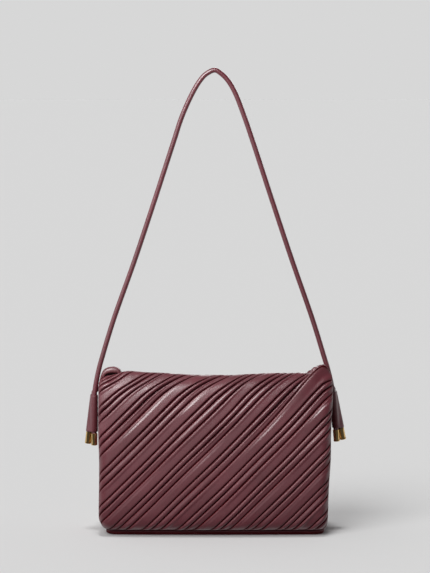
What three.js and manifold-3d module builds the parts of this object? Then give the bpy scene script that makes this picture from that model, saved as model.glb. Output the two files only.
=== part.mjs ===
// Accordion bag: a small pleated leather shoulder bag on one round rolled strap.
// Millimetres, +Z up, +X to the right of the front, front towards -Y.
// The origin is under the peak of the strap, where the bag hangs.
import * as THREE from 'three';
import { mergeVertices } from 'three/addons/utils/BufferGeometryUtils.js';
import Module from 'manifold-3d';

const wasm = await Module();
wasm.setup();

// Body
const strapDrop = 361.6;      // from the peak of the strap down to the lowest point of the rim
const bagWidth = 280;         // across the front, at the widest
const bagHeight = 190;        // from the base up to the lowest point of the rim
const bagDepth = 89;          // from the bulge of the front to the bulge of the back
const baseStrip = 5.7;        // plain strip of the base that shows under the pleats
const mouthWidth = 14;        // clear way between the two rolled edges
const wall = 2;               // leather with its padding
const seamGap = 0.4;          // between two pieces at a seam
const sideTurn = 12;          // how far the panels turn back at their sides
const pillow = 0.1;           // share of their bulge that the panels lose towards their sides
const earRise = 13.5;         // the front's right corner above the lowest point of the rim
const backDrop = 4;           // how much lower the back's rim hangs

// Pleats
const pleatPitch = 40.2;      // across the front, from one group of folds to the next
const pleatStart = -10.8;     // first fold of the group that leaves the foot near its middle
const pleatRelief = 2.2;      // height of the ridges over the fold lines
const pleatFade = 13;         // the ridges flatten this close to a seam
const pleatMargin = 2.5;      // no fold line ends closer than this to a side seam
const bendLeft = 15;          // how far the folds lean over at the rim, on the left
const bendRight = 5;          // and on the right
const bendHeight = 34;        // the lean begins this far below the rim

// Gussets
const gussetBulge = 1.8;      // how far their middle stands out
const earReach = 28.5;        // how far the ear rolls in over the mouth's end
const earHalfWidth = 6.4;     // half the width of the ear where it leaves the gusset
const earDroopFront = 6.5;    // how far the ear's front edge hangs down
const earDroopBack = 12.5;    // and its back edge
const ledge = 1.5;            // the gusset steps in this far below the rolled edges
const gussetFold = 5.5;       // how far the right gusset's upper middle is drawn in

// Base
const baseTurn = 2.4;         // how far the base's walls turn in under the bag

// Strap, cords and sleeves
const cordRadius = 3;
const cordSides = 10;
const anchorSides = 8;
const cordClearance = 0.3;    // between two cords, and between a cord and what holds it
const sleeveWall = 1;
const sleeveOutset = 8.9;     // foot of the sleeves, out past half the bag's width
const sleeveFall = 24.9;      // top of the left sleeve, below the lowest point of the rim
const sleeveLength = 44.6;
const sleeveTwistTop = 80;    // degrees from the front to the pair of cords, at the sleeve's top
const sleeveTwistFoot = 38;   // the same at its foot
const anchorRise = 7;         // hole of the anchor cord above its sleeve
const anchorSetback = 3.1;    // and behind the middle of the gusset
const knobRadius = 3.7;       // stop at the anchor cord's inner end
const knobLength = 3;
const knobGap = 0.9;          // between the stop and the gusset

// Gold caps
const capWall = 0.5;
const capLength = 14.5;
const capFloor = 1.5;
const capGap = 1;             // between the cap's rim and the sleeve
const capLag = 1.2;           // the strap's cap hangs this much lower than its neighbour

const halfWidth = bagWidth / 2;
const halfDepth = bagDepth / 2;
const halfMouth = mouthWidth / 2;
const rimHeight = -strapDrop;
const baseHeight = rimHeight - bagHeight;
const seamHeight = baseHeight + baseStrip;
const panelHeight = bagHeight - baseStrip;
const capRadius = cordRadius + cordClearance + capWall;

// Section of a panel from the seam at its foot to the end of its rolled lip. depth runs from the
// mouth (0) to the bulge (1), up from the seam (0) to the rim (1), in the middle and at the sides.
const PANEL_SECTION = [
  { depth: 0.667, up: 0.0, sideDepth: 0.33, sideUp: 0.0 },
  { depth: 0.867, up: 0.03, sideDepth: 0.5, sideUp: 0.03 },
  { depth: 0.96, up: 0.1, sideDepth: 0.6, sideUp: 0.1 },
  { depth: 1.0, up: 0.27, sideDepth: 0.645, sideUp: 0.27 },
  { depth: 0.987, up: 0.46, sideDepth: 0.62, sideUp: 0.46 },
  { depth: 0.907, up: 0.64, sideDepth: 0.55, sideUp: 0.64 },
  { depth: 0.76, up: 0.79, sideDepth: 0.455, sideUp: 0.79 },
  { depth: 0.56, up: 0.91, sideDepth: 0.35, sideUp: 0.895 },
  { depth: 0.36, up: 0.97, sideDepth: 0.275, sideUp: 0.95 },
  { depth: 0.165, up: 1.0, sideDepth: 0.219, sideUp: 0.972 },
  { depth: 0.037, up: 0.982, sideDepth: 0.16, sideUp: 0.96 },
  { depth: 0.0, up: 0.944, sideDepth: 0.133, sideUp: 0.932 },
  { depth: 0.011, up: 0.905, sideDepth: 0.133, sideUp: 0.9 },
];
const rowsPerStation = 2;
const ridgeEnds = { from: 0.6, to: 0.8 }; // the ridges die out over this stretch of the section

// The rim's rise and fall reaches down over this stretch of the section. On the right it follows
// the slant of the folds, between these two shares of half the width.
const liftLeft = { from: 0.62, to: 0.78 };
const liftRight = { from: 0.4, to: 0.72 };
const slantEnds = { from: -0.1, to: 0.3 };

// Across the leather, the folds lean most up to the first place and least from the second
const bendEnds = { from: -200, to: -20 };

// Outline from the front: up as a share of the bag's height, left and right of half its width
const SIDE_LINE = [
  { up: 0.0, left: 0.871, right: 0.9 },
  { up: 0.025, left: 0.925, right: 0.932 },
  { up: 0.042, left: 0.957, right: 0.95 },
  { up: 0.072, left: 0.982, right: 0.964 },
  { up: 0.11, left: 0.996, right: 0.968 },
  { up: 0.28, left: 0.993, right: 0.973 },
  { up: 0.47, left: 0.988, right: 0.987 },
  { up: 0.68, left: 0.998, right: 0.993 },
  { up: 0.9, left: 0.997, right: 1.008 },
  { up: 1.0, left: 0.995, right: 0.998 },
];

// The rim from left to right: across as a share of half the width, rise as a share of earRise
const RIM_LINE = [
  { across: -1.0, rise: -0.3 },
  { across: -0.94, rise: -0.1 },
  { across: -0.88, rise: 0.04 },
  { across: -0.83, rise: 0.18 },
  { across: -0.78, rise: 0.38 },
  { across: -0.72, rise: 0.4 },
  { across: -0.6, rise: 0.3 },
  { across: -0.43, rise: 0.22 },
  { across: -0.1, rise: 0.0 },
  { across: 0.13, rise: 0.04 },
  { across: 0.43, rise: 0.2 },
  { across: 0.74, rise: 0.23 },
  { across: 0.84, rise: 0.27 },
  { across: 0.88, rise: 0.58 },
  { across: 0.91, rise: 0.92 },
  { across: 0.935, rise: 1.0 },
  { across: 0.96, rise: 0.82 },
  { across: 0.99, rise: 0.4 },
];

// One group of pleats: across as a share of the pitch, height as a share of the relief
const PLEAT_GROUP = [
  { across: 0.0, height: 0.0 },
  { across: 0.12, height: 0.85 },
  { across: 0.24, height: 0.0 },
  { across: 0.38, height: 0.75 },
  { across: 0.52, height: 0.2 },
  { across: 0.58, height: 0.95 },
  { across: 0.92, height: 0.85 },
];

// The gusset's ear, from its neck over the crest into the mouth: inward as a share of its reach,
// rise over the rim as a share of earRise, half its width as a share of earHalfWidth, droop of its
// edges as a share of earDroopFront and earDroopBack
const EAR_SECTION = [
  { inward: 0.0, rise: -0.95, half: 1.0, droop: 0.0 },
  { inward: 0.05, rise: -0.3, half: 0.98, droop: 0.3 },
  { inward: 0.15, rise: 0.28, half: 0.96, droop: 0.95 },
  { inward: 0.31, rise: 0.57, half: 1.0, droop: 1.0 },
  { inward: 0.5, rise: 0.68, half: 1.0, droop: 1.0 },
  { inward: 0.7, rise: 0.68, half: 0.98, droop: 1.0 },
  { inward: 0.88, rise: 0.5, half: 0.94, droop: 0.8 },
  { inward: 1.0, rise: 0.0, half: 0.9, droop: 0.6 },
];

// Each side's share of the fold in its gusset, of the ear's reach, of the outset of its sleeve's top
// and of the sleeve's fall
const SIDES = [
  { name: 'left', sign: -1, column: 'left', foldShare: -0.08, earShare: 1, topShare: 0.66, fallShare: 1 },
  { name: 'right', sign: 1, column: 'right', foldShare: 1, earShare: 0.68, topShare: 0.26, fallShare: 0.81 },
].map((side) => {
  const topDown = strapDrop + side.fallShare * sleeveFall;
  return {
    ...side,
    fold: side.foldShare * gussetFold,
    earReach: side.earShare * earReach,
    topOut: halfWidth + side.topShare * sleeveOutset,
    topDown,
    footOut: halfWidth + sleeveOutset,
    footDown: topDown + sleeveLength,
  };
});

// The strap's two legs, from the peak to the sleeves: down as a share of the strap's drop,
// out as a share of half the bag's width
const STRAP_LEGS = [
  { down: 0.013, left: 0.076, right: 0.058 },
  { down: 0.032, left: 0.123, right: 0.107 },
  { down: 0.071, left: 0.186, right: 0.168 },
  { down: 0.149, left: 0.279, right: 0.248 },
  { down: 0.227, left: 0.347, right: 0.318 },
  { down: 0.423, left: 0.514, right: 0.486 },
  { down: 0.621, left: 0.687, right: 0.659 },
  { down: 0.819, left: 0.871, right: 0.839 },
  { down: 0.939, left: 0.967, right: 0.936 },
  { down: 0.99, left: 1.003, right: 0.976 },
];

// Smooth curve through the rows of a table, read at one value of its key column
function readTable(rows, key, column, at) {
  const last = rows.length - 1;
  if (at <= rows[0][key]) return rows[0][column];
  if (at >= rows[last][key]) return rows[last][column];
  const next = rows.findIndex((row) => at < row[key]);
  const slopeAt = (index) => {
    const before = rows[Math.max(index - 1, 0)];
    const after = rows[Math.min(index + 1, last)];
    return (after[column] - before[column]) / (after[key] - before[key]);
  };
  const start = rows[next - 1];
  const end = rows[next];
  const span = end[key] - start[key];
  const share = (at - start[key]) / span;
  const ease = share * share * (3 - 2 * share);
  const leave = share * (1 - share) * (1 - share) * span * slopeAt(next - 1);
  const arrive = share * share * (share - 1) * span * slopeAt(next);
  return THREE.MathUtils.lerp(start[column], end[column], ease) + leave + arrive;
}

function panelDepth(share) {
  return halfMouth + share * (halfDepth - halfMouth);
}

const middleSection = new THREE.SplineCurve(
  PANEL_SECTION.map((row) => new THREE.Vector2(panelDepth(row.depth), row.up * panelHeight)),
);
const sideSection = new THREE.SplineCurve(
  PANEL_SECTION.map((row) => new THREE.Vector2(panelDepth(row.sideDepth), row.sideUp * panelHeight)),
);

// Leather used from the foot seam up to each station of the section
const sectionSteps = 240;
const sectionLengths = [0];
for (let step = 1; step <= sectionSteps; step += 1) {
  const from = middleSection.getPoint((step - 1) / sectionSteps);
  const to = middleSection.getPoint(step / sectionSteps);
  sectionLengths.push(sectionLengths[step - 1] + from.distanceTo(to));
}

function leatherUp(along) {
  const place = THREE.MathUtils.clamp(along, 0, 1) * sectionSteps;
  const low = Math.min(Math.floor(place), sectionSteps - 1);
  return THREE.MathUtils.lerp(sectionLengths[low], sectionLengths[low + 1], place - low);
}

const crestAlong = (PANEL_SECTION.findIndex((row) => row.up === 1)) / (PANEL_SECTION.length - 1);

// A panel is deepest in its middle and flatter towards its sides
function pillowDepth(depth, outside) {
  return halfMouth + (depth - halfMouth) * (1 - pillow * outside * outside);
}

function sideDistance(column, height) {
  return halfWidth * readTable(SIDE_LINE, 'up', column, (height + baseStrip) / bagHeight);
}

// A panel's smooth outer face before pleating: across and up the leather to a point.
// The back is the same piece turned half round, so its left side is the bag's right.
function panelSurface(facing) {
  const leftColumn = facing === 1 ? 'left' : 'right';
  const rightColumn = facing === 1 ? 'right' : 'left';
  const drop = facing === 1 ? 0 : backDrop;

  function limits(along) {
    const middle = middleSection.getPoint(along);
    const side = sideSection.getPoint(along);
    const left = -sideDistance(leftColumn, side.y);
    const right = sideDistance(rightColumn, side.y);
    const turnLength = (Math.PI / 4) * (sideTurn + Math.abs(pillowDepth(middle.x, 1) - side.x));
    return { middle, side, left, right, turnLength, start: left + sideTurn - turnLength, end: right - sideTurn + turnLength };
  }

  function point(across, along) {
    const row = limits(along);
    let x = across;
    let turn = 0;
    if (across < row.left + sideTurn) {
      turn = Math.min((row.left + sideTurn - across) / row.turnLength, 1) * (Math.PI / 2);
      x = row.left + sideTurn * (1 - Math.sin(turn));
    }
    if (across > row.right - sideTurn) {
      turn = Math.min((across - row.right + sideTurn) / row.turnLength, 1) * (Math.PI / 2);
      x = row.right - sideTurn * (1 - Math.sin(turn));
    }
    const outside = (facing * x) / halfWidth;
    const blend = 1 - Math.cos(turn);
    const depth = THREE.MathUtils.lerp(pillowDepth(row.middle.x, outside), row.side.x, blend);
    const height = THREE.MathUtils.lerp(row.middle.y, row.side.y, blend);
    const belowCrest = Math.max(leatherUp(crestAlong) - leatherUp(along), 0);
    const slant = THREE.MathUtils.smoothstep(outside, slantEnds.from, slantEnds.to);
    const rimPlace = outside + (slant * belowCrest) / halfWidth;
    const rise = earRise * readTable(RIM_LINE, 'across', 'rise', rimPlace) - drop;
    const liftFrom = THREE.MathUtils.lerp(liftLeft.from, liftRight.from, slant);
    const liftTo = THREE.MathUtils.lerp(liftLeft.to, liftRight.to, slant);
    const lift = rise * THREE.MathUtils.smoothstep(along, liftFrom, liftTo);
    return new THREE.Vector3(x, -depth, seamHeight + height + lift);
  }

  function normal(across, along) {
    const row = limits(along);
    const reachAcross = 0.4;
    const reachAlong = 0.004;
    const low = Math.max(across - reachAcross, row.start);
    const high = Math.min(across + reachAcross, row.end);
    const below = Math.max(along - reachAlong, 0);
    const above = Math.min(along + reachAlong, 1);
    const overAcross = point(high, along).sub(point(low, along));
    const overAlong = point(across, above).sub(point(across, below));
    return overAcross.cross(overAlong).normalize();
  }

  return { limits, point, normal };
}

const frontSurface = panelSurface(1);
const backSurface = panelSurface(-1);

// Collects points and triangles of one closed body
function createBody() {
  const positions = [];
  const triangles = [];
  const addPoint = (point) => {
    positions.push(point.x, point.y, point.z);
    return positions.length / 3 - 1;
  };
  // Each row is a list of { id, key }. Rows of different lengths are joined in the order of the keys.
  const joinRows = (lower, upper, flip = false) => {
    let low = 0;
    let high = 0;
    const face = (a, b, c) => triangles.push(...(flip ? [a, c, b] : [a, b, c]));
    while (low < lower.length - 1 || high < upper.length - 1) {
      const lowerNext = lower[low + 1];
      const upperNext = upper[high + 1];
      if (lowerNext && (!upperNext || lowerNext.key <= upperNext.key)) {
        face(lower[low].id, lower[low + 1].id, upper[high].id);
        low += 1;
      } else {
        face(lower[low].id, upper[high + 1].id, upper[high].id);
        high += 1;
      }
    }
  };
  const toGeometry = () => {
    const geometry = new THREE.BufferGeometry();
    geometry.setAttribute('position', new THREE.Float32BufferAttribute(positions, 3));
    geometry.setIndex(triangles);
    return geometry;
  };
  return { addPoint, joinRows, toGeometry };
}

// Joins an outer and an inner skin, each a list of rows of { point, key, edgeKey }, into one walled piece
function walledPiece(outerRows, innerRows) {
  const body = createBody();
  const register = (rows) => rows.map((row) => row.map((entry) => ({ ...entry, id: body.addPoint(entry.point) })));
  const byEdge = (row) => row.map((entry) => ({ id: entry.id, key: entry.edgeKey }));
  const outer = register(outerRows);
  const inner = register(innerRows);
  for (let row = 0; row < outer.length - 1; row += 1) {
    body.joinRows(outer[row], outer[row + 1]);
    body.joinRows(inner[row], inner[row + 1], true);
  }
  const last = outer.length - 1;
  body.joinRows(byEdge(inner[0]), byEdge(outer[0]));
  body.joinRows(byEdge(outer[last]), byEdge(inner[last]));
  const column = (rows, pick) => rows.map((row, index) => ({ id: pick(row).id, key: index }));
  const first = (row) => row[0];
  const final = (row) => row[row.length - 1];
  body.joinRows(column(outer, first), column(inner, first));
  body.joinRows(column(inner, final), column(outer, final));
  return body.toGeometry();
}

// Height of the ridges at one place of the leather, with the folds fading towards the seams
function ridgeHeight(share, across, along, row) {
  const toSide = Math.min(across - row.start, row.end - across);
  const sideFade = THREE.MathUtils.smoothstep(toSide, 0, pleatFade);
  const footFade = THREE.MathUtils.smoothstep(leatherUp(along), 0, pleatFade);
  const lipFade = 1 - THREE.MathUtils.smoothstep(along, ridgeEnds.from, ridgeEnds.to);
  return pleatRelief * share * sideFade * footFade * lipFade;
}

// The folds lean over as they near the rim, most on the left
function pleatBend(foldLine, up) {
  const reach = THREE.MathUtils.lerp(bendLeft, bendRight, THREE.MathUtils.smoothstep(foldLine, bendEnds.from, bendEnds.to));
  const nearRim = (up - leatherUp(crestAlong) + bendHeight) / bendHeight;
  return reach * THREE.MathUtils.clamp(nearRim, 0, 1.3) ** 2;
}

function panelGeometry(surface) {
  const rowCount = (PANEL_SECTION.length - 1) * rowsPerStation;
  const turnColumns = 3;
  const faceColumns = 7;
  const outerRows = [];
  const innerRows = [];
  for (let index = 0; index <= rowCount; index += 1) {
    const along = index / rowCount;
    const row = surface.limits(along);
    const up = leatherUp(along);
    const places = [{ across: row.start, foldLine: -Infinity, share: 0 }];
    const firstGroup = Math.floor((row.start - up - pleatStart - bendLeft) / pleatPitch) - 1;
    const lastGroup = Math.ceil((row.end - up - pleatStart) / pleatPitch);
    for (let group = firstGroup; group <= lastGroup; group += 1) {
      for (const fold of PLEAT_GROUP) {
        const foldLine = pleatStart + (group + fold.across) * pleatPitch;
        const across = foldLine + up + pleatBend(foldLine, up);
        const inside = across > row.start + pleatMargin && across < row.end - pleatMargin;
        if (inside) places.push({ across, foldLine, share: fold.height });
      }
    }
    places.push({ across: row.end, foldLine: Infinity, share: 0 });
    outerRows.push(places.map(({ across, foldLine, share }) => {
      const height = ridgeHeight(share, across, along, row);
      const point = surface.point(across, along).addScaledVector(surface.normal(across, along), height);
      return { point, key: foldLine, edgeKey: across };
    }));
    const faceStart = row.left + sideTurn;
    const faceEnd = row.right - sideTurn;
    const columns = [];
    for (let step = 0; step < turnColumns; step += 1) {
      columns.push(THREE.MathUtils.lerp(row.start, faceStart, step / turnColumns));
    }
    for (let step = 0; step <= faceColumns; step += 1) {
      columns.push(THREE.MathUtils.lerp(faceStart, faceEnd, step / faceColumns));
    }
    for (let step = 1; step <= turnColumns; step += 1) {
      columns.push(THREE.MathUtils.lerp(faceEnd, row.end, step / turnColumns));
    }
    innerRows.push(columns.map((across, step) => {
      const point = surface.point(across, along).addScaledVector(surface.normal(across, along), -wall);
      return { point, key: step, edgeKey: across };
    }));
  }
  return walledPiece(outerRows, innerRows);
}

function toManifold(geometry) {
  const bare = geometry.clone();
  bare.deleteAttribute('normal');
  bare.deleteAttribute('uv');
  const merged = mergeVertices(bare, 1e-4);
  return new wasm.Manifold(new wasm.Mesh({
    numProp: 3,
    vertProperties: new Float32Array(merged.attributes.position.array),
    triVerts: new Uint32Array(merged.index.array),
  }));
}

function fromManifold(solid) {
  const mesh = solid.getMesh();
  const geometry = new THREE.BufferGeometry();
  geometry.setAttribute('position', new THREE.BufferAttribute(mesh.vertProperties, 3));
  geometry.setIndex(new THREE.BufferAttribute(mesh.triVerts, 1));
  return geometry;
}

// A round disc along a direction, from a start point
function discAlong(start, direction, radius, length, sides) {
  const disc = new THREE.CylinderGeometry(radius, radius, length, sides);
  const turn = new THREE.Quaternion().setFromUnitVectors(new THREE.Vector3(0, 1, 0), direction);
  disc.applyQuaternion(turn);
  const middle = start.clone().addScaledVector(direction, length / 2);
  disc.translate(middle.x, middle.y, middle.z);
  return disc;
}

// Where the two cords run in a sleeve, down its length from 0 to 1 and beyond
function sleeveSection(side, down) {
  const out = THREE.MathUtils.lerp(side.topOut, side.footOut, down);
  const drop = THREE.MathUtils.lerp(side.topDown, side.footDown, down);
  const centre = new THREE.Vector3(side.sign * out, 0, -drop);
  const twist = THREE.MathUtils.degToRad(THREE.MathUtils.lerp(sleeveTwistTop, sleeveTwistFoot, down));
  const toStrap = new THREE.Vector3(-side.sign * Math.cos(twist), -Math.sin(twist), 0);
  const topSpread = cordRadius + cordClearance / 2;
  const footSpread = capRadius + cordClearance / 2;
  const spread = THREE.MathUtils.lerp(topSpread, footSpread, down);
  const strap = centre.clone().addScaledVector(toStrap, spread);
  const anchor = centre.clone().addScaledVector(toStrap, -spread);
  return { centre, toStrap, spread, strap, anchor };
}

// Straight run of one cord through its sleeve and into its cap
function cordRun(side, which, lag) {
  const top = sleeveSection(side, 0)[which];
  const foot = sleeveSection(side, 1)[which];
  const direction = foot.clone().sub(top).normalize();
  const capStart = foot.clone().addScaledVector(direction, capGap + lag);
  const end = capStart.clone().addScaledVector(direction, capLength - capFloor - cordClearance);
  return { top, foot, direction, capStart, end };
}

// Gusset point on the smooth side, over its width from front (0) to back (1)
function gussetRows(side) {
  const border = (surface, along) => {
    const row = surface.limits(along);
    const turned = surface === backSurface;
    const atStart = (side.sign < 0) !== turned;
    const point = surface.point(atStart ? row.start : row.end, along);
    return turned ? new THREE.Vector3(-point.x, -point.y, point.z) : point;
  };
  const lipEnd = Math.min(border(frontSurface, 1).z, border(backSurface, 1).z) - ledge;
  const columns = 6;
  const rowCount = (PANEL_SECTION.length - 1) * rowsPerStation;
  const foldTop = rimHeight - bagHeight / 8;
  const foldFoot = rimHeight - bagHeight / 2;
  const rows = [];
  const addRow = (front, back, fold, droop) => {
    const row = [];
    for (let step = 0; step <= columns; step += 1) {
      const share = step / columns;
      const point = front.clone().lerp(back, share);
      point.x -= side.sign * fold * 4 * share * (1 - share);
      const hang = share < 0.5 ? earDroopFront : earDroopBack;
      point.z -= droop * hang * (2 * share - 1) ** 4;
      row.push(point);
    }
    rows.push(row);
  };
  for (let index = 0; index <= rowCount; index += 1) {
    const along = index / rowCount;
    const front = border(frontSurface, along);
    const back = border(backSurface, along);
    if (Math.max(front.z, back.z) > lipEnd) break;
    front.y += seamGap;
    back.y -= seamGap;
    const drawn = THREE.MathUtils.smoothstep(front.z, foldFoot, foldTop);
    const bulge = gussetBulge * THREE.MathUtils.smoothstep(front.z, seamHeight, foldFoot) * (1 - drawn);
    addRow(front, back, side.fold * drawn - bulge, 0);
  }
  const neckOut = sideDistance(side.column, panelHeight) - side.fold;
  const neck = [{ inward: 0, rise: (lipEnd + ledge / 2 - rimHeight) / earRise, half: 1, droop: 0 }];
  for (const row of [...neck, ...EAR_SECTION]) {
    const x = side.sign * (neckOut - row.inward * side.earReach);
    const z = rimHeight + row.rise * earRise;
    const half = row.half * earHalfWidth;
    addRow(new THREE.Vector3(x, -half, z), new THREE.Vector3(x, half, z), 0, row.droop);
  }
  return rows;
}

// Normals of a grid of points, kept square to the seams along the upright part of its edges
function gridNormals(rows, outward) {
  return rows.map((row, index) => row.map((point, step) => {
    const before = rows[Math.max(index - 1, 0)][step];
    const after = rows[Math.min(index + 1, rows.length - 1)][step];
    const left = row[Math.max(step - 1, 0)];
    const right = row[Math.min(step + 1, row.length - 1)];
    const normal = right.clone().sub(left).cross(after.clone().sub(before)).multiplyScalar(outward);
    const upright = normal.z * normal.z < normal.x * normal.x;
    if (upright && (step === 0 || step === row.length - 1)) normal.y = 0;
    return normal.normalize();
  }));
}

function gussetGeometry(side) {
  const rows = gussetRows(side);
  const ordered = side.sign > 0 ? rows : rows.map((row) => [...row].reverse());
  const normals = gridNormals(ordered, 1);
  const entry = (point, step) => ({ point, key: step, edgeKey: step });
  const outer = ordered.map((row) => row.map(entry));
  const inner = ordered.map((row, index) => row.map((point, step) => (
    entry(point.clone().addScaledVector(normals[index][step], -wall), step))));
  const hole = anchorHole(side);
  const outward = new THREE.Vector3(side.sign, 0, 0);
  const reach = 4 * wall;
  const start = hole.clone().addScaledVector(outward, -reach);
  const drill = discAlong(start, outward, cordRadius + cordClearance, 2 * reach, 2 * anchorSides);
  return fromManifold(toManifold(walledPiece(outer, inner)).subtract(toManifold(drill)));
}

// Middle of the hole where the anchor cord leaves the gusset
function anchorHole(side) {
  const out = sideDistance(side.column, panelHeight) - side.fold - wall / 2;
  return new THREE.Vector3(side.sign * out, anchorSetback, -side.topDown + anchorRise);
}

// The outline of the bag's foot, drawn in by an inset, as a closed list of points
function footLoop(inset, height) {
  const cornerSteps = 5;
  const loop = [];
  for (const surface of [frontSurface, backSurface]) {
    const row = surface.limits(0);
    const turned = surface === backSurface ? -1 : 1;
    const places = [];
    for (let step = 0; step <= cornerSteps; step += 1) {
      places.push(row.start + (row.turnLength * step) / cornerSteps);
    }
    for (let step = 0; step <= cornerSteps; step += 1) {
      places.push(row.end - row.turnLength * (1 - step / cornerSteps));
    }
    for (const across of places) {
      const point = surface.point(across, 0);
      const normal = surface.normal(across, 0).setZ(0).normalize();
      point.addScaledVector(normal, -inset);
      loop.push(new THREE.Vector3(turned * point.x, turned * point.y, height));
    }
  }
  return loop;
}

// A flat-bottomed tray: outer wall, flat underside, floor and inner wall
function baseGeometry() {
  const body = createBody();
  const rim = seamHeight - seamGap;
  const floor = baseHeight + wall;
  const levels = [
    footLoop(wall, rim),
    footLoop(0, rim),
    footLoop(baseTurn / 4, baseHeight + wall),
    footLoop(baseTurn, baseHeight),
  ];
  const floorLoop = footLoop(wall + baseTurn / 4, floor);
  const close = (loop) => {
    const row = loop.map((point, index) => ({ id: body.addPoint(point), key: index }));
    row.push({ id: row[0].id, key: loop.length });
    return row;
  };
  const rows = levels.map(close);
  const floorRow = close(floorLoop);
  for (let index = 0; index < rows.length - 1; index += 1) body.joinRows(rows[index + 1], rows[index]);
  body.joinRows(rows[0], floorRow);
  const middle = (sideDistance('right', 0) - sideDistance('left', 0)) / 2;
  const cap = (row, height, flip) => {
    const hub = body.addPoint(new THREE.Vector3(middle, 0, height));
    body.joinRows(row, [{ id: hub, key: 0 }], flip);
  };
  cap(rows[rows.length - 1], baseHeight, true);
  cap(floorRow, floor, false);
  return body.toGeometry();
}

function roundSection(radius, sides) {
  const shape = new THREE.Shape();
  for (let step = 0; step <= sides; step += 1) {
    const angle = (2 * Math.PI * step) / sides;
    const x = radius * Math.cos(angle);
    const y = radius * Math.sin(angle);
    if (step === 0) shape.moveTo(x, y);
    else shape.lineTo(x, y);
  }
  return shape;
}

function cordAlong(points, sides, steps) {
  const path = new THREE.CatmullRomCurve3(points, false, 'centripetal');
  return new THREE.ExtrudeGeometry(roundSection(cordRadius, sides), { steps, bevelEnabled: false, extrudePath: path });
}

// Points of one leg of the strap, from its end in the cap up to just under the peak
function strapLeg(side) {
  const run = cordRun(side, 'strap', capLag);
  const inSleeve = run.foot.clone().lerp(run.top, 0.5);
  const settle = THREE.MathUtils.smoothstep;
  const legs = [...STRAP_LEGS].reverse().map((row) => new THREE.Vector3(
    side.sign * row[side.column] * halfWidth,
    run.top.y * settle(row.down, 0.7, 1),
    cordRadius - row.down * (strapDrop + cordRadius),
  ));
  return [run.end, run.foot, inSleeve, run.top, ...legs];
}

function strapGeometry() {
  const [left, right] = SIDES;
  const peak = new THREE.Vector3(0, 0, cordRadius);
  const strapSteps = 80;
  return cordAlong([...strapLeg(left), peak, ...strapLeg(right).reverse()], cordSides, strapSteps);
}

function anchorGeometry(side) {
  const run = cordRun(side, 'anchor', 0);
  const hole = anchorHole(side);
  const outward = new THREE.Vector3(side.sign, 0, 0);
  const inner = hole.clone().addScaledVector(outward, -(wall / 2 + knobLength));
  const outside = hole.clone().addScaledVector(outward, wall);
  const rise = run.top.clone().addScaledVector(run.direction, -cordRadius);
  const middle = run.foot.clone().lerp(run.top, 0.5);
  const anchorSteps = 24;
  const cord = cordAlong([inner, outside, rise, run.top, middle, run.foot, run.end], anchorSides, anchorSteps);
  const knobStart = hole.clone().addScaledVector(outward, -(wall / 2 + knobGap + knobLength));
  const knob = discAlong(knobStart, outward, knobRadius, knobLength, 2 * anchorSides);
  return fromManifold(toManifold(cord).add(toManifold(knob)));
}

function sleeveGeometry(side) {
  const levels = 4;
  const roundSteps = 6;
  const ring = (down, radius) => {
    const { centre, toStrap, spread } = sleeveSection(side, down);
    const across = new THREE.Vector3(-toStrap.y, toStrap.x, 0);
    const points = [];
    for (const end of [1, -1]) {
      for (let step = 0; step <= roundSteps; step += 1) {
        const angle = (Math.PI * step) / roundSteps - Math.PI / 2;
        const point = centre.clone().addScaledVector(toStrap, end * (spread + radius * Math.cos(angle)));
        points.push(point.addScaledVector(across, end * radius * Math.sin(angle)));
      }
    }
    return points;
  };
  const body = createBody();
  const register = (points) => {
    const row = points.map((point, index) => ({ id: body.addPoint(point), key: index }));
    row.push({ id: row[0].id, key: points.length });
    return row;
  };
  const bore = cordRadius + cordClearance;
  const outer = [];
  const inner = [];
  for (let level = levels; level >= 0; level -= 1) {
    outer.push(register(ring(level / levels, bore + sleeveWall)));
    inner.push(register(ring(level / levels, bore)));
  }
  for (let level = 0; level < levels; level += 1) {
    body.joinRows(outer[level], outer[level + 1]);
    body.joinRows(inner[level], inner[level + 1], true);
  }
  body.joinRows(inner[0], outer[0]);
  body.joinRows(outer[levels], inner[levels]);
  return body.toGeometry();
}

function capGeometry(side, which, lag) {
  const { capStart, direction } = cordRun(side, which, lag);
  const bore = cordRadius + cordClearance;
  const chamfer = capWall;
  const capSides = 16;
  const profile = [
    [0, 0],
    [capRadius - chamfer, 0],
    [capRadius, chamfer],
    [capRadius, capLength],
    [bore, capLength],
    [bore, capFloor],
    [0, capFloor],
  ].map(([radius, height]) => new THREE.Vector2(radius, height));
  const cap = new THREE.LatheGeometry(profile, capSides);
  const upward = direction.clone().negate();
  cap.applyQuaternion(new THREE.Quaternion().setFromUnitVectors(new THREE.Vector3(0, 1, 0), upward));
  const foot = capStart.clone().addScaledVector(direction, capLength);
  cap.translate(foot.x, foot.y, foot.z);
  return cap;
}

const leather = { color: 0x5f2e38, roughness: 0.42, metalness: 0 };
const gold = { color: 0xc79a4a, roughness: 0.22, metalness: 1 };

const bag = new THREE.Group();
bag.name = 'accordion_bag';

function addPiece(name, geometry, finish) {
  const mesh = new THREE.Mesh(geometry, new THREE.MeshStandardMaterial(finish));
  mesh.name = name;
  bag.add(mesh);
  return mesh;
}

addPiece('front_panel', panelGeometry(frontSurface), leather);
addPiece('back_panel', panelGeometry(backSurface), leather).rotation.z = Math.PI;
addPiece('base_panel', baseGeometry(), leather);
addPiece('strap', strapGeometry(), leather);
for (const side of SIDES) {
  addPiece(`gusset_${side.name}`, gussetGeometry(side), leather);
  addPiece(`sleeve_${side.name}`, sleeveGeometry(side), leather);
  addPiece(`anchor_cord_${side.name}`, anchorGeometry(side), leather);
  addPiece(`strap_cap_${side.name}`, capGeometry(side, 'strap', capLag), gold);
  addPiece(`anchor_cap_${side.name}`, capGeometry(side, 'anchor', 0), gold);
}

export default bag;
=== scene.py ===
import math

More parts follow.
